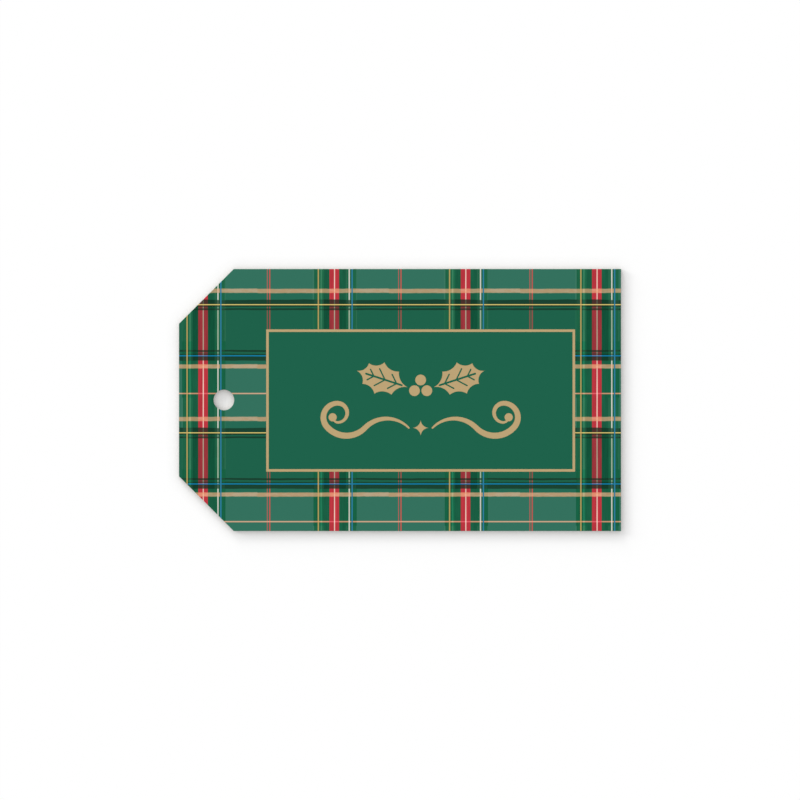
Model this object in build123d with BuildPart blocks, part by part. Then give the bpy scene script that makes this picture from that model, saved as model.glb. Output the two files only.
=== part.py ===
from build123d import *
from math import pi, sin
import os

# Gift tag: a three-ply card with two clipped corners, a punched hole and stamped gold foil.
# It lies on its back with the printed face up. +X runs from the hole end to the square end.

# Card outline
tag_length = 85.7
tag_width = 50.8
corner_clip = 10.6
hole_diameter = 4.0
hole_inset = 8.7

# Plies, glued face to face and then cut through together
back_thickness = 0.2
core_thickness = 0.4
front_thickness = 0.2
glue_thickness = 0.02
edge_ease = 0.1

# Foil film and the seat that the hot stamp presses for it
foil_thickness = 0.02
stamp_depth = 0.04
stamp_overrun = 0.2

# Border line round the name panel, placed by its margins to the card's edges
border_stroke = 0.5
border_margin_hole_end = 16.9
border_margin_square_end = 8.9
border_margin_top = 11.7
border_margin_bottom = 11.5

# Holly sprig, above the middle of the panel
sprig_rise = 2.6
berry_diameter = 2.1
berry_gap = 0.3
berry_count = 3
leaf_gap = 0.12
leaf_length = 10.4
leaf_half_width = 3.2
leaf_scallop = 0.55
leaf_tilt_angle = 18
leaf_spine_shares = ((0, 0), (0.24, 0.74), (0.55, 1), (0.82, 0.66), (1, 0))
rib_stalk_inset = 1.0
rib_tip_inset = 1.8
rib_width = 0.36
vein_width = 0.26
vein_angle = 46
vein_place_shares = (0.16, 0.47, 0.77)
vein_reach_shares = (0.62, 0.74, 0.46)

# Scrolls with a four-point star between them, below the middle of the panel
scroll_drop = 5.3
scroll_hairline = 0.36
scroll_swell = 1.2
scroll_lift_angle = 46
limb_radius = 5.9
bowl_radius = 5.0
bowl_turn_angle = 96
curl_radius = 2.75
curl_radius_shares = (1, 0.68, 0.4)
curl_turn_angles = (130, 170, 95)
scroll_ball_diameter = 1.6
scroll_arcs = 20
star_radius = 1.6
star_hollow = 0.45
star_gap = 0.7
star_points = 4

# Heights of the plies above the table
back_glue_floor = back_thickness
core_floor = back_glue_floor + glue_thickness
front_glue_floor = core_floor + core_thickness
front_floor = front_glue_floor + glue_thickness
front_top = front_floor + front_thickness
foil_floor = front_top - stamp_depth

# Places seen from above
hole_x = hole_inset - tag_length / 2
border_length = tag_length - border_margin_hole_end - border_margin_square_end
border_width = tag_width - border_margin_top - border_margin_bottom
panel_x = (border_margin_hole_end - border_margin_square_end) / 2
panel_y = (border_margin_bottom - border_margin_top) / 2
foil_plane = Plane((panel_x, panel_y, foil_floor))
quarter_turn = 90
full_turn = 360

os.makedirs("parts", exist_ok=True)

# Die line, shared by every ply
with BuildSketch() as die_line:
    Rectangle(tag_length, tag_width)
    chamfer(die_line.vertices().group_by(Axis.X)[0], corner_clip)
    with Locations((hole_x, 0)):
        Circle(hole_diameter / 2, mode=Mode.SUBTRACT)

# The foil outlines are drawn about the middle of the panel
with BuildSketch() as border:
    Rectangle(border_length, border_width)
    offset(amount=-border_stroke, kind=Kind.INTERSECTION, mode=Mode.SUBTRACT)

# Berries in a ring, a small gap apart
berry_ring_radius = (berry_diameter + berry_gap) / 2 / sin(pi / berry_count)
with BuildSketch() as berries:
    with Locations((0, sprig_rise)):
        with PolarLocations(berry_ring_radius, berry_count, start_angle=quarter_turn):
            Circle(berry_diameter / 2)

# Holly leaf along +X from its stalk end: scalloped edges between spines, and bare ribs
with BuildSketch() as leaf:
    with BuildLine():
        spines = [(leaf_length * along, leaf_half_width * out) for along, out in leaf_spine_shares]
        for start, end in zip(spines, spines[1:]):
            SagittaArc(start, end, -leaf_scallop)
        mirror(about=Plane.XZ)
    make_face()
    rib_length = leaf_length - rib_stalk_inset - rib_tip_inset
    with Locations((rib_stalk_inset + rib_length / 2, 0)):
        SlotOverall(rib_length, rib_width, mode=Mode.SUBTRACT)
    for place, share in zip(vein_place_shares, vein_reach_shares):
        root = Vector(rib_stalk_inset + rib_length * place, 0)
        for angle in (vein_angle, -vein_angle):
            reach = Vector(leaf_half_width * share, 0).rotate(Axis.Z, angle)
            SlotCenterPoint(root + reach / 2, root, vein_width, mode=Mode.SUBTRACT)

# The right leaf stands off the berries and tilts up
leaf_base = berry_ring_radius + berry_diameter / 2 + leaf_gap
with BuildSketch() as leaf_right:
    with Locations((leaf_base, sprig_rise)):
        add(leaf.sketch, rotation=leaf_tilt_angle)

# Four-point star with hollow sides
with BuildSketch() as star:
    with BuildLine():
        turns = [full_turn * point / star_points for point in range(star_points + 1)]
        tips = [Vector(star_radius, 0).rotate(Axis.Z, turn) for turn in turns]
        for start, end in zip(tips, tips[1:]):
            SagittaArc(start, end, star_hollow)
    make_face()

# Middle line of the right scroll: an arched limb, a bowl and a curl that winds in
with BuildLine() as scroll_path:
    lift = Vector(1, 0).rotate(Axis.Z, scroll_lift_angle)
    arc = JernArc((star_radius + star_gap, 0), lift, limb_radius, -2 * scroll_lift_angle)
    arc = JernArc(arc @ 1, arc % 1, bowl_radius, bowl_turn_angle)
    for share, turn in zip(curl_radius_shares, curl_turn_angles):
        arc = JernArc(arc @ 1, arc % 1, curl_radius * share, turn)

# The scroll's stroke swells from a round hairline tip, thins again and ends in a ball, as a pen stroke does
middle_line = scroll_path.wire()


def stroke_edge(along, side):
    """Point on one edge of the stroke, a share of the way along its middle line."""
    width = scroll_hairline + (scroll_swell - scroll_hairline) * sin(pi * along)
    aside = (middle_line % along).rotate(Axis.Z, quarter_turn) * (side * width / 2)
    return middle_line @ along + aside


with BuildSketch() as scroll:
    with BuildLine():
        for side in (1, -1):
            for step in range(scroll_arcs):
                halves = (2 * step, 2 * step + 1, 2 * step + 2)
                ThreePointArc(*[stroke_edge(half / (2 * scroll_arcs), side) for half in halves])
        Line(stroke_edge(0, 1), stroke_edge(0, -1))
        Line(stroke_edge(1, 1), stroke_edge(1, -1))
    make_face()
    with Locations(middle_line @ 0):
        Circle(scroll_hairline / 2)
    with Locations(middle_line @ 1):
        Circle(scroll_ball_diameter / 2)

# Scrolls and star stand on one line below the sprig
with BuildSketch() as scroll_right:
    with Locations((0, -scroll_drop)):
        add(scroll.sketch)

with BuildSketch() as scroll_star:
    with Locations((0, -scroll_drop)):
        add(star.sketch)

foil_shapes = {
    "foil_border": border.sketch,
    "holly_berries": berries.sketch,
    "holly_leaf_left": mirror(leaf_right.sketch, about=Plane.YZ),
    "holly_leaf_right": leaf_right.sketch,
    "scroll_left": mirror(scroll_right.sketch, about=Plane.YZ),
    "scroll_right": scroll_right.sketch,
    "scroll_star": scroll_star.sketch,
}

# Plain plies and glue films: the die line at each height
plain_plies = {
    "back_sheet": (0, back_thickness),
    "back_glue": (back_glue_floor, glue_thickness),
    "core_board": (core_floor, core_thickness),
    "front_glue": (front_glue_floor, glue_thickness),
}
for name, (floor, thickness) in plain_plies.items():
    with BuildPart() as ply:
        with BuildSketch(Plane.XY.offset(floor)):
            add(die_line.sketch)
        extrude(amount=thickness)
    ply.part.label = name
    export_step(ply.part, f"parts/{name}.step")

# Printed ply: the die rolls its upper edges over, and the hot stamp presses in the foil's seats
with BuildPart() as front_sheet:
    with BuildSketch(Plane.XY.offset(front_floor)):
        add(die_line.sketch)
    extrude(amount=front_thickness)
    fillet(front_sheet.edges().group_by(Axis.Z)[-1], edge_ease)
    with BuildSketch(foil_plane):
        for shape in foil_shapes.values():
            add(shape)
    extrude(amount=stamp_depth + stamp_overrun, mode=Mode.SUBTRACT)
front_sheet.part.label = "front_sheet"
export_step(front_sheet.part, "parts/front_sheet.step")

# Foil islands, each lying in its own seat
for name, shape in foil_shapes.items():
    with BuildPart() as foil:
        with BuildSketch(foil_plane):
            add(shape)
        extrude(amount=foil_thickness)
    foil.part.label = name
    export_step(foil.part, f"parts/{name}.step")
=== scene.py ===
import math

import bmesh
import bpy
from mathutils import Color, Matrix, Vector


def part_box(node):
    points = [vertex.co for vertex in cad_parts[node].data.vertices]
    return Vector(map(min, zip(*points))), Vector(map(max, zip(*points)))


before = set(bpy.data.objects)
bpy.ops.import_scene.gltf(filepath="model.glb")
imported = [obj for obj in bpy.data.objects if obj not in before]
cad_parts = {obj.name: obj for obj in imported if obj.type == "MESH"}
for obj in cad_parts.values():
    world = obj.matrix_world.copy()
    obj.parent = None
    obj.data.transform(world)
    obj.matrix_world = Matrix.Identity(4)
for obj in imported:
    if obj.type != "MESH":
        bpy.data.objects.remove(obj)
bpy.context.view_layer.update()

# The frame is in metres. Finishes are laid out in millimetres.
MM = 0.001

# Camera: straight above, with the card as long as it is in the square photograph, in pixels
PICTURE_SIDE = 800
CARD_IN_PICTURE = 442.0
LENS = 300
SENSOR = 36
CLIP_START = 10 * MM

# Light: an even studio sky, and two low soft lamps at the upper left that give a share of the light
WHITE = (1, 1, 1, 1)
LAMP_SHARE = 0.2
LAMP_ELEVATION = math.radians(16.5)
LAMP_BEARINGS = (math.radians(115), math.radians(155))
LAMP_WIDTH = math.radians(20)

# White table: painted shade in its colour darkens it close to the card, where less of the room is in
# sight
FLOOR_RADIUS = 10.0
FLOOR_SIDES = 3
FLOOR_GAP = 0.02 * MM
FLOOR_SHADE = 0.6
FLOOR_SHADE_REACH = 2.6 * MM
FLOOR_SHADE_SAMPLES = 16

# Noise lies about its middle, and most of it within a reach to both sides
NOISE_MIDDLE = 0.5
NOISE_REACH = 0.25
BRISTLE_REACH = 0.2
GRAIN_REACH = 0.3

# Colours and inks are screen colours, with parts from 0 to this white
SCREEN_WHITE = 255

# Inks are laid over each other in tones that the eye sees as even steps, then turned to light.
# The paper's sheen adds a little light everywhere, so the inks give up as much.
INK_GAMMA = 2.2
PAPER_SHEEN = 0.007

# Ink of the panel, and width of a stripe's soft edge
PANEL_GREEN = (32, 98, 75)
LINE_EDGE = 0.05

# Printed paper: the sheet's grain, and what it does to the shade, the gloss and the relief
PAPER_GRAIN = (0.12, 0.12, 0.12)
PRINT_SHADE = (0.985, 1.015)
PRINT_ROUGHNESS = (0.5, 0.62)
PRINT_SPECULAR = 0.092
PRINT_RELIEF = 0.004

# The ink ends on the rolled edge, between these depths below the face, and bare paper follows
INKED_DEPTH = 0.07
BARE_DEPTH = 0.09
CUT_EDGE = (227, 225, 220)

# Uncoated paper and board: colour, size of the fibres and relief. Fibres run along X, flat in the sheet.
BACK_PAPER = ((231, 229, 224), 0.09, 0.008)
CORE_BOARD = ((214, 209, 199), 0.14, 0.014)
FIBRE_SHARES = (6, 1, 0.4)
CLOUD_GRAIN = (2.5, 2.5, 0.08)
PAPER_ROUGHNESS = (0.8, 0.95)
PAPER_SPECULAR = 0.2

# The shades of two noises add up to the shade of a surface, which is about 1
FIBRE_SHADE = (0.46, 0.5)
CLOUD_SHADE = (0.475, 0.5)
FOIL_GRAIN_SHADE = (0.49, 0.51)
FOIL_DRIFT_SHADE = (0.485, 0.515)

# Glue film
GLUE_COLOUR = (226, 220, 202)
GLUE_FLOW = (0.5, 0.5, 0.5)
GLUE_SHADE = (0.94, 1.0)
GLUE_ROUGHNESS = (0.3, 0.45)
GLUE_RELIEF = 0.003

# Gold foil
FOIL_COLOUR = (187, 163, 120)
FOIL_DRIFT = (3.0, 3.0, 3.0)
FOIL_ROUGHNESS = (0.48, 0.6)
FOIL_RELIEF = 0.002

# Tartan columns, in millimetres from the middle of a red stripe to the right
COLUMN_REPEAT = 25.452
COLUMN_START = -14.92
COLUMN_END = COLUMN_START + COLUMN_REPEAT
RED_COLUMN_X = -12.724

# Tartan rows, in millimetres from a thin tan line upwards
ROW_REPEAT = 24.845
TAN_LINE_Y = 1.26

# Row grounds: middle, height and ink. The rest of the card is the deep green ground.
DEEP_GROUND = (32, 97, 74)
ROW_GROUNDS = (
    (-6.0, 1.32, (39, 105, 84)),
    (6.08, 0.84, (39, 105, 84)),
    (0.16, 11.0, (53, 113, 94)),
)

# Columns under the dark lines: middle and width
GREEN_COLUMN = (0.145, 8.13)
LEFT_STRIP = (-4.08, 0.2)
RIGHT_STRIP = (4.27, 0.19)
FRESH_COLUMN = (0.14, 8.38)
DEEP_COLUMN = (0.1, 4.26)
DEEP_STRIP = (2.33, 0.19)
RED_COLUMN = (-0.02, 1.87)
RED_MIDDLE = (0.03, 0.205)
WHITE_LINE = (2.885, 0.258)
LEFT_RED_LINE = (-13.005, 0.14)
RIGHT_RED_LINE = (-12.535, 0.238)

# Their inks on pale rows and on dark rows, and the part that shows, from the lowest layer up.
# A green brush stroke is one row repeat long. Where its paint is fresh it hides the pale strips,
# which show where it is worn.
PALE_ROWS = (-0.145, 13.01)
FRESH_ROWS = (4.66, 10.92)
FRESH_FADE = 0.3
COLUMN_LAYERS = (
    (GREEN_COLUMN, (32, 99, 69), (32, 98, 69), "whole"),
    (LEFT_STRIP, (62, 119, 97), (38, 103, 75), "worn"),
    (RIGHT_STRIP, (50, 111, 86), (47, 108, 81), "worn"),
    (FRESH_COLUMN, (25, 95, 66), (25, 95, 65), "fresh"),
    (DEEP_COLUMN, (28, 92, 66), (17, 81, 57), "whole"),
    (DEEP_STRIP, (46, 102, 77), (28, 90, 64), "worn"),
    (RED_COLUMN, (187, 54, 64), (152, 53, 59), "whole"),
    (RED_MIDDLE, (228, 194, 179), (183, 170, 148), "whole"),
    (WHITE_LINE, (203, 204, 193), (158, 177, 154), "whole"),
    (LEFT_RED_LINE, (190, 90, 84), (158, 82, 72), "whole"),
    (RIGHT_RED_LINE, (190, 85, 78), (150, 80, 72), "whole"),
)

# Brush marks: grain of the bristles along the columns and along the rows, and their streaks in the paint.
# The brush that draws the dark lines wavers a little up and down.
COLUMN_BRISTLES = (0.22, 5.0, 0.22)
COLUMN_STREAKS = (0.93, 1.07)
ROW_BRISTLES = (5.0, 0.16, 5.0)
ROW_STREAKS = (0.9, 1.03)
WAVER_GRAIN = (7.0, 2.0, 7.0)
WAVER_REACH = 0.12

# A thin green veil on the red column and the white line, in the gaps of the dark lines: middle and height
GREEN_VEIL_INK = (15, 72, 50)
GREEN_VEIL_COVER = 0.23
GREEN_VEILS = (
    (-8.195, 0.42),
    (7.86, 0.62),
)

# Dark lines across the card: middle, height and cover. The dark ink dries paler on the bare green column.
DARK_INK = (25, 45, 33)
DARK_INK_ON_COLUMNS = (
    (GREEN_COLUMN, (41, 59, 47)),
    (DEEP_COLUMN, DARK_INK),
    (WHITE_LINE, DARK_INK),
)
DARK_LINES = (
    (-8.49, 0.36, 0.66),
    (-7.343, 1.394, 0.62),
    (6.785, 0.85, 0.62),
    (7.57, 0.2, 0.65),
    (8.235, 0.35, 0.69),
)

# Tan washes across the card: middle, height and cover. They hold better on the red column.
# Each stroke of a wash is one repeat long. It rises a little, and it pales as the brush empties.
TAN_WASHES = (
    (-4.94, 0.825, 0.65),
    (5.252, 0.8, 0.68),
)
TAN_GRIP_ON_RED = 1.08
TAN_EDGE = 0.2
TAN_RISE = 0.06
TAN_WARM_INK = (240, 170, 125)
TAN_PALE_INK = (245, 188, 153)
TAN_PALES_FROM = -1.0
TAN_PALES_TO = 8.0

# The washes are mottled, with ragged edges: grain, swing between the two inks and swing of the edges
MOTTLE_GRAIN = (1.2, 0.4, 1.2)
MOTTLE_SWING = 1.3
RAGGED_SWING = 0.05

# Thin tan line
TAN_LINE_HEIGHT = 0.25
TAN_LINE_INK = (196, 97, 69)
TAN_LINE_INK_ON_COLUMNS = (
    (GREEN_COLUMN, (195, 84, 65)),
    (RED_COLUMN, (147, 52, 53)),
)

# Bright lines over everything else: middle, width or height, ink and cover
BRIGHT_ROWS = (
    (-7.62, 0.192, (229, 203, 119), 0.97),
    (7.305, 0.166, (0, 132, 189), 1.0),
)
BRIGHT_COLUMNS = (
    (-3.11, 0.252, (218, 171, 100), 0.8),
    (3.44, 0.25, (50, 125, 160), 1.0),
)

# A pale glow beside the yellow column: middle and width, and what it adds to the tones under it.
# It changes where the green paint is fresh, and where the dark lines cover more than a share.
GLOW_COLUMN = (-2.536, 0.33)
GLOW_TONE = (0.11, 0.105, 0.09, 1)
GLOW_TONE_ON_FRESH = (0.065, 0.105, 0.085, 1)
GLOW_TONE_ON_DARK = (0, 0.1, 0.06, 1)
GLOW_DARK_COVER = 0.3


def light_parts(colour):
    """Light of each part of a screen colour."""
    return Color([part / SCREEN_WHITE for part in colour]).from_srgb_to_scene_linear()


def light(colour):
    """Screen colour as light, for a shader's socket."""
    return (*light_parts(colour), 1)


def tone(ink):
    """Tone that INK_GAMMA turns into the light of this ink, less the paper's sheen."""
    ink_light = [max(part - PAPER_SHEEN, 0) for part in light_parts(ink)]
    return (*[part ** (1 / INK_GAMMA) for part in ink_light], 1)


class Finish:
    """One material, with a short call for each kind of node that the finishes share."""

    def __init__(self, name):
        self.material = bpy.data.materials.new(name)
        self.material.use_nodes = True
        self.tree = self.material.node_tree
        self.shader = self.tree.nodes["Principled BSDF"]
        coordinates = self.tree.nodes.new("ShaderNodeTexCoord").outputs["Object"]
        self.place = self.spread(coordinates, (1 / MM, 1 / MM, 1 / MM))
        parts = self.tree.nodes.new("ShaderNodeSeparateXYZ")
        self.feed(parts.inputs[0], self.place)
        self.x, self.y, self.z = parts.outputs

    def feed(self, socket, value):
        """Links an output to a socket, or sets a plain value on it."""
        if isinstance(value, bpy.types.NodeSocket):
            self.tree.links.new(value, socket)
        else:
            socket.default_value = value

    def surface(self, **values):
        """Values of the shader's sockets, with _ for a space in their names."""
        for name, value in values.items():
            self.feed(self.shader.inputs[name.replace("_", " ")], value)

    def math(self, operation, *values):
        node = self.tree.nodes.new("ShaderNodeMath")
        node.operation = operation
        for socket, value in zip(node.inputs, values):
            self.feed(socket, value)
        return node.outputs[0]

    def plus(self, first, second):
        return self.math("ADD", first, second)

    def less(self, first, second):
        return self.math("SUBTRACT", first, second)

    def times(self, first, second):
        return self.math("MULTIPLY", first, second)

    def repeat(self, value, start, end):
        """Value that begins again at start whenever it reaches end."""
        return self.math("WRAP", value, end, start)

    def spread(self, vector, factors):
        """Vector times one factor for each axis."""
        node = self.tree.nodes.new("ShaderNodeVectorMath")
        node.operation = "MULTIPLY"
        self.feed(node.inputs[0], vector)
        node.inputs[1].default_value = factors
        return node.outputs[0]

    def join(self, *parts):
        """Vector of three parts."""
        node = self.tree.nodes.new("ShaderNodeCombineXYZ")
        for socket, part in zip(node.inputs, parts):
            self.feed(socket, part)
        return node.outputs[0]

    def noise(self, grain, detail=2.0, rough=0.5, place=None):
        """Even noise from 0 to 1, with a grain size in millimetres along each axis."""
        node = self.tree.nodes.new("ShaderNodeTexNoise")
        self.feed(node.inputs["Vector"], self.spread(place or self.place, [1 / size for size in grain]))
        node.inputs["Scale"].default_value = 1
        node.inputs["Detail"].default_value = detail
        node.inputs["Roughness"].default_value = rough
        return node.outputs["Fac"]

    def paper_grain(self):
        """Grain of the front sheet, which the foil on it takes up too."""
        return self.noise(PAPER_GRAIN, detail=3.0, rough=0.6)

    def ramp(self, value, low, high, to_low=0.0, to_high=1.0, smooth=False):
        """Value between low and high, spread from to_low to to_high."""
        node = self.tree.nodes.new("ShaderNodeMapRange")
        node.interpolation_type = "SMOOTHSTEP" if smooth else "LINEAR"
        for socket, number in zip(node.inputs, (value, low, high, to_low, to_high)):
            self.feed(socket, number)
        return node.outputs[0]

    def vary(self, noise, amounts, reach=NOISE_REACH, smooth=False):
        """Noise as an amount between two."""
        return self.ramp(noise, NOISE_MIDDLE - reach, NOISE_MIDDLE + reach, *amounts, smooth=smooth)

    def swing(self, noise, reach):
        """Noise as a swing of up to reach to both sides."""
        return self.vary(noise, (-reach, reach))

    def stripe(self, direction, middle, width, edge=LINE_EDGE):
        """1 inside a stripe and 0 outside, with a soft edge."""
        distance = self.math("ABSOLUTE", self.less(direction, middle))
        return self.ramp(distance, (width + edge) / 2, (width - edge) / 2, smooth=True)

    def lay(self, below, ink, cover, kind="MIX"):
        """Ink over what is below, where cover says."""
        node = self.tree.nodes.new("ShaderNodeMix")
        node.data_type = "RGBA"
        node.blend_type = kind
        sockets = [socket for socket in node.inputs if socket.enabled]
        for socket, value in zip(sockets, (cover, below, ink)):
            self.feed(socket, value)
        return next(socket for socket in node.outputs if socket.enabled)

    def shade(self, colour, amount):
        """Colour times an amount close to 1."""
        node = self.tree.nodes.new("ShaderNodeHueSaturation")
        self.feed(node.inputs["Color"], colour)
        self.feed(node.inputs["Value"], amount)
        return node.outputs[0]

    def gamma(self, colour, power):
        """Colour with each part raised to a power."""
        node = self.tree.nodes.new("ShaderNodeGamma")
        self.feed(node.inputs["Color"], colour)
        self.feed(node.inputs["Gamma"], power)
        return node.outputs[0]

    def relief(self, height, depth):
        """Bumps of this depth in millimetres."""
        node = self.tree.nodes.new("ShaderNodeBump")
        node.inputs["Distance"].default_value = depth * MM
        self.feed(node.inputs["Height"], height)
        self.feed(self.shader.inputs["Normal"], node.outputs[0])


class Tartan:
    """Tartan print in ink tones. Each kind of mark is laid over the marks before it."""

    def __init__(self, finish):
        self.finish = finish
        self.tone = tone(DEEP_GROUND)
        self.across = finish.repeat(finish.less(finish.x, RED_COLUMN_X), COLUMN_START, COLUMN_END)
        self.up = finish.repeat(finish.less(finish.y, TAN_LINE_Y), -ROW_REPEAT / 2, ROW_REPEAT / 2)
        self.roll = self.roll_up()
        waver = finish.noise(WAVER_GRAIN, detail=4.0, place=self.roll)
        self.brushed_up = finish.plus(self.up, finish.swing(waver, WAVER_REACH))
        self.fresh = finish.stripe(self.up, *FRESH_ROWS, edge=FRESH_FADE)
        self.darkness = self.dark_cover()

    def roll_up(self):
        """Place on a roll that one repeat of the columns goes round, so that brush marks repeat too."""
        radius = COLUMN_REPEAT / (2 * math.pi)
        turn = self.finish.math("DIVIDE", self.across, radius)
        roll_x = self.finish.times(self.finish.math("COSINE", turn), radius)
        roll_z = self.finish.times(self.finish.math("SINE", turn), radius)
        return self.finish.join(roll_x, self.up, roll_z)

    def dark_cover(self):
        """Cover of the dark lines, with the streaks of the brush."""
        cover = 0.0
        for middle, height, share in DARK_LINES:
            line = self.finish.times(self.finish.stripe(self.brushed_up, middle, height), share)
            cover = self.finish.math("MAXIMUM", cover, line)
        bristles = self.finish.noise(ROW_BRISTLES, place=self.roll)
        return self.finish.times(cover, self.finish.vary(bristles, ROW_STREAKS, BRISTLE_REACH))

    def column(self, middle, width):
        return self.finish.stripe(self.across, middle, width)

    def row(self, middle, height):
        return self.finish.stripe(self.up, middle, height)

    def ink_by_column(self, ink, inks_on_columns):
        """Tone of an ink that dries to another colour on some columns."""
        dried = tone(ink)
        for column, ink_there in inks_on_columns:
            dried = self.finish.lay(dried, tone(ink_there), self.column(*column))
        return dried

    def lay(self, ink_tone, cover, kind="MIX"):
        self.tone = self.finish.lay(self.tone, ink_tone, cover, kind)

    def lay_row_grounds(self):
        for middle, height, ink in ROW_GROUNDS:
            self.lay(tone(ink), self.row(middle, height))

    def lay_columns(self):
        """Columns under the dark lines, with streaks of the brush along the green one."""
        finish = self.finish
        pale_rows = self.row(*PALE_ROWS)
        parts = {"whole": 1.0, "fresh": self.fresh, "worn": finish.less(1.0, self.fresh)}
        for column, pale_ink, dark_ink, part in COLUMN_LAYERS:
            ink_tone = finish.lay(tone(dark_ink), tone(pale_ink), pale_rows)
            self.lay(ink_tone, finish.times(self.column(*column), parts[part]))
        bristles = finish.noise(COLUMN_BRISTLES, place=self.roll)
        streaked = finish.shade(self.tone, finish.vary(bristles, COLUMN_STREAKS, BRISTLE_REACH))
        self.lay(streaked, self.column(*GREEN_COLUMN))

    def lay_green_veils(self):
        veiled = self.finish.math("MAXIMUM", self.column(*RED_COLUMN), self.column(*WHITE_LINE))
        cover = self.finish.times(veiled, GREEN_VEIL_COVER)
        for middle, height in GREEN_VEILS:
            veil = self.finish.stripe(self.brushed_up, middle, height)
            self.lay(tone(GREEN_VEIL_INK), self.finish.times(veil, cover))

    def lay_dark_lines(self):
        self.lay(self.ink_by_column(DARK_INK, DARK_INK_ON_COLUMNS), self.darkness)

    def lay_tan_washes(self):
        """Thin mottled washes, which let the columns show through."""
        finish = self.finish
        mottle = finish.noise(MOTTLE_GRAIN, detail=4.0, rough=0.65, place=self.roll)
        stroke = finish.ramp(self.across, TAN_PALES_FROM, TAN_PALES_TO)
        paleness = finish.plus(stroke, finish.swing(mottle, MOTTLE_SWING))
        ink_tone = finish.lay(tone(TAN_WARM_INK), tone(TAN_PALE_INK), paleness)
        grip = finish.ramp(self.column(*RED_COLUMN), 0, 1, 1, TAN_GRIP_ON_RED)
        rise = finish.ramp(self.across, COLUMN_START, COLUMN_END, -TAN_RISE / 2, TAN_RISE / 2)
        ragged_up = finish.plus(finish.less(self.up, rise), finish.swing(mottle, RAGGED_SWING))
        for middle, height, cover in TAN_WASHES:
            wash = finish.times(finish.stripe(ragged_up, middle, height, edge=TAN_EDGE), cover)
            self.lay(ink_tone, finish.times(wash, grip))

    def lay_tan_line(self):
        """Thin line that brightens what it crosses."""
        ink_tone = self.ink_by_column(TAN_LINE_INK, TAN_LINE_INK_ON_COLUMNS)
        self.lay(ink_tone, self.row(0, TAN_LINE_HEIGHT), "SCREEN")

    def lay_bright_lines(self):
        for line, bright_lines in ((self.row, BRIGHT_ROWS), (self.column, BRIGHT_COLUMNS)):
            for middle, width, ink, cover in bright_lines:
                self.lay(tone(ink), self.finish.times(line(middle, width), cover))

    def lay_glow(self):
        dark = self.finish.math("GREATER_THAN", self.darkness, GLOW_DARK_COVER)
        glow = self.finish.lay(GLOW_TONE, GLOW_TONE_ON_FRESH, self.fresh)
        glow = self.finish.lay(glow, GLOW_TONE_ON_DARK, dark)
        self.lay(glow, self.column(*GLOW_COLUMN), "ADD")

    def paint(self):
        """Tone of the whole print, from the row grounds to the bright lines and the glow."""
        self.lay_row_grounds()
        self.lay_columns()
        self.lay_green_veils()
        self.lay_dark_lines()
        self.lay_tan_washes()
        self.lay_tan_line()
        self.lay_bright_lines()
        self.lay_glow()
        return self.tone


def printed_paper():
    """Matt coated paper with the tartan, a plain green panel inside the border, and bare cut edges."""
    finish = Finish("printed_paper")
    low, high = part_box("foil_border")
    middle = (low + high) / (2 * MM)
    size = (high - low) / MM
    panel = finish.math(
        "MINIMUM",
        finish.stripe(finish.x, middle.x, size.x),
        finish.stripe(finish.y, middle.y, size.y),
    )
    print_tone = finish.lay(Tartan(finish).paint(), tone(PANEL_GREEN), panel)

    grain = finish.paper_grain()
    print_tone = finish.shade(print_tone, finish.vary(grain, PRINT_SHADE, GRAIN_REACH))
    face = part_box("front_sheet")[1].z / MM
    inked = finish.ramp(finish.z, face - BARE_DEPTH, face - INKED_DEPTH, smooth=True)
    finish.surface(
        Base_Color=finish.lay(light(CUT_EDGE), finish.gamma(print_tone, INK_GAMMA), inked),
        Roughness=finish.vary(grain, PRINT_ROUGHNESS, GRAIN_REACH),
        Specular_IOR_Level=PRINT_SPECULAR,
    )
    finish.relief(grain, PRINT_RELIEF)
    return finish.material


def plain_paper(name, colour, fibre, relief):
    """Uncoated paper: a cloudy sheet of fine fibres."""
    finish = Finish(name)
    clouds = finish.noise(CLOUD_GRAIN, detail=4.0, rough=0.6)
    fibres = finish.noise([fibre * share for share in FIBRE_SHARES], detail=3.0, rough=0.7)
    shade = finish.plus(finish.vary(clouds, CLOUD_SHADE), finish.vary(fibres, FIBRE_SHADE))
    finish.surface(
        Base_Color=finish.shade(light(colour), shade),
        Roughness=finish.vary(fibres, PAPER_ROUGHNESS, GRAIN_REACH),
        Specular_IOR_Level=PAPER_SPECULAR,
    )
    finish.relief(fibres, relief)
    return finish.material


def glue_film():
    """Dried white glue, a little uneven where it flowed."""
    finish = Finish("glue_film")
    flow = finish.noise(GLUE_FLOW)
    finish.surface(
        Base_Color=finish.shade(light(GLUE_COLOUR), finish.vary(flow, GLUE_SHADE, smooth=True)),
        Roughness=finish.vary(flow, GLUE_ROUGHNESS, smooth=True),
    )
    finish.relief(flow, GLUE_RELIEF)
    return finish.material


def gold_foil():
    """Satin gold film, which takes up the paper's grain under the stamp."""
    finish = Finish("gold_foil")
    grain = finish.paper_grain()
    drift = finish.noise(FOIL_DRIFT)
    shade = finish.plus(finish.vary(grain, FOIL_GRAIN_SHADE), finish.vary(drift, FOIL_DRIFT_SHADE))
    finish.surface(
        Base_Color=finish.shade(light(FOIL_COLOUR), shade),
        Metallic=1.0,
        Roughness=finish.vary(grain, FOIL_ROUGHNESS, GRAIN_REACH),
    )
    finish.relief(grain, FOIL_RELIEF)
    return finish.material


def dress(material, *nodes):
    """Puts a finish on CAD nodes."""
    for node in nodes:
        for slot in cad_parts[node].material_slots:
            slot.material = material


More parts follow.
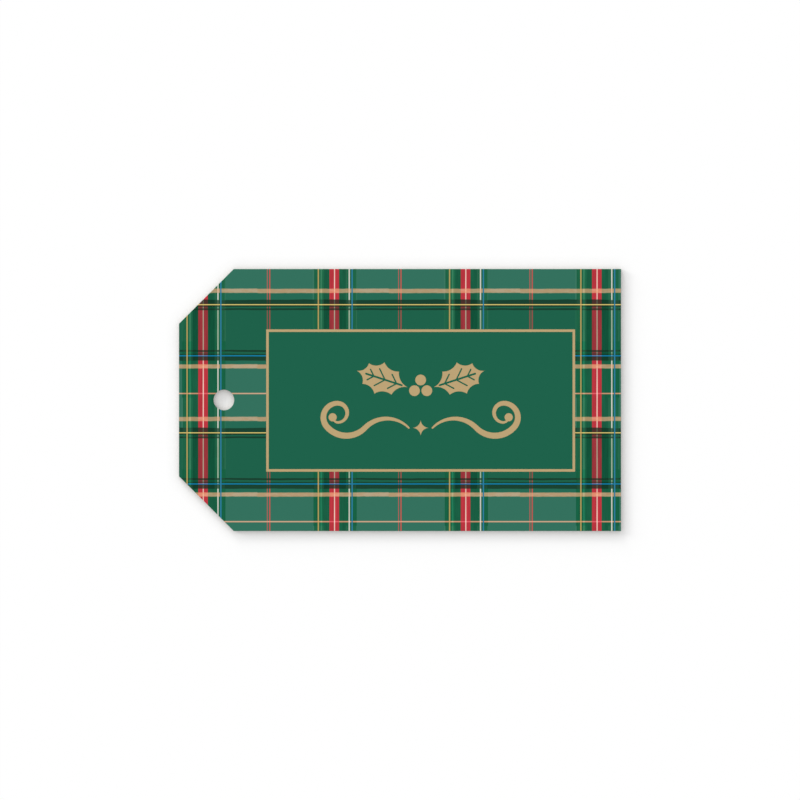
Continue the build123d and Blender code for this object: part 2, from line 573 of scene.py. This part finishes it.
def table_with_painted_shade():
    """Matt white, with painted shade in its colour where the card hides the room."""
    material = bpy.data.materials.new("table_with_painted_shade")
    material.use_nodes = True
    tree = material.node_tree
    tree.nodes.clear()
    # Painted shade: ambient occlusion near the card darkens the table's colour
    painted_shade_ao = tree.nodes.new("ShaderNodeAmbientOcclusion")
    painted_shade_ao.samples = FLOOR_SHADE_SAMPLES
    painted_shade_ao.inputs["Distance"].default_value = FLOOR_SHADE_REACH
    painted_shade_colour = tree.nodes.new("ShaderNodeMapRange")
    painted_shade_colour.inputs["To Min"].default_value = 1 - FLOOR_SHADE
    tree.links.new(painted_shade_ao.outputs["AO"], painted_shade_colour.inputs["Value"])
    diffuse = tree.nodes.new("ShaderNodeBsdfDiffuse")
    tree.links.new(painted_shade_colour.outputs[0], diffuse.inputs["Color"])
    output = tree.nodes.new("ShaderNodeOutputMaterial")
    tree.links.new(diffuse.outputs[0], output.inputs["Surface"])
    return material


def build_floor():
    """One wide triangle, so that no inner edge can show in its painted shade."""
    mesh = bmesh.new()
    bmesh.ops.create_circle(mesh, cap_ends=True, segments=FLOOR_SIDES, radius=FLOOR_RADIUS)
    bmesh.ops.translate(mesh, verts=mesh.verts, vec=(0, 0, -FLOOR_GAP))
    data = bpy.data.meshes.new("floor")
    mesh.to_mesh(data)
    mesh.free()
    data.materials.append(table_with_painted_shade())
    floor = bpy.data.objects.new("floor", data)
    bpy.context.scene.collection.objects.link(floor)


def build_sky():
    """Even light all round, and plain white where it is seen or mirrored."""
    world = bpy.data.worlds.new("studio")
    bpy.context.scene.world = world
    world.use_nodes = True
    tree = world.node_tree
    tree.nodes.clear()

    def backdrop(strength):
        background = tree.nodes.new("ShaderNodeBackground")
        background.inputs["Color"].default_value = WHITE
        background.inputs["Strength"].default_value = strength
        return background.outputs[0]

    def either(first, second):
        node = tree.nodes.new("ShaderNodeMath")
        node.operation = "MAXIMUM"
        tree.links.new(first, node.inputs[0])
        tree.links.new(second, node.inputs[1])
        return node.outputs[0]

    path = tree.nodes.new("ShaderNodeLightPath").outputs
    mirrored = either(path["Is Glossy Ray"], path["Is Transmission Ray"])
    mix = tree.nodes.new("ShaderNodeMixShader")
    tree.links.new(either(path["Is Camera Ray"], mirrored), mix.inputs[0])
    tree.links.new(backdrop(1 - LAMP_SHARE), mix.inputs[1])
    tree.links.new(backdrop(1), mix.inputs[2])
    output = tree.nodes.new("ShaderNodeOutputWorld")
    tree.links.new(mix.outputs[0], output.inputs["Surface"])


def build_lamps():
    """Soft suns, each with an equal part of the lamps' share of the light on a level card."""
    share = LAMP_SHARE / len(LAMP_BEARINGS)
    level = math.cos(LAMP_ELEVATION)
    rise = math.sin(LAMP_ELEVATION)
    for bearing in LAMP_BEARINGS:
        lamp = bpy.data.lights.new("lamp", "SUN")
        lamp.energy = share * math.pi / rise
        lamp.angle = LAMP_WIDTH
        source = bpy.data.objects.new("lamp", lamp)
        bpy.context.scene.collection.objects.link(source)
        towards = Vector((level * math.cos(bearing), level * math.sin(bearing), rise))
        source.rotation_mode = "QUATERNION"
        source.rotation_quaternion = towards.to_track_quat("Z", "Y")


def build_camera():
    """Camera over the middle of the card, at the height that gives the card its size in the picture."""
    low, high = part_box("front_sheet")
    picture_width = (high.x - low.x) * PICTURE_SIDE / CARD_IN_PICTURE
    camera = bpy.data.cameras.new("camera")
    camera.lens = LENS
    camera.sensor_width = SENSOR
    camera.clip_start = CLIP_START
    camera.clip_end = 2 * FLOOR_RADIUS
    eye = bpy.data.objects.new("camera", camera)
    bpy.context.scene.collection.objects.link(eye)
    eye.location = (0, 0, high.z + picture_width * LENS / SENSOR)
    bpy.context.scene.camera = eye


foil_nodes = [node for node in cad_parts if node.startswith(("foil_", "holly_", "scroll_"))]
dress(printed_paper(), "front_sheet")
dress(plain_paper("plain_paper", *BACK_PAPER), "back_sheet")
dress(plain_paper("core_board", *CORE_BOARD), "core_board")
dress(glue_film(), "back_glue", "front_glue")
dress(gold_foil(), *foil_nodes)
build_floor()
build_sky()
build_lamps()
build_camera()
bpy.context.scene.view_settings.view_transform = "Standard"
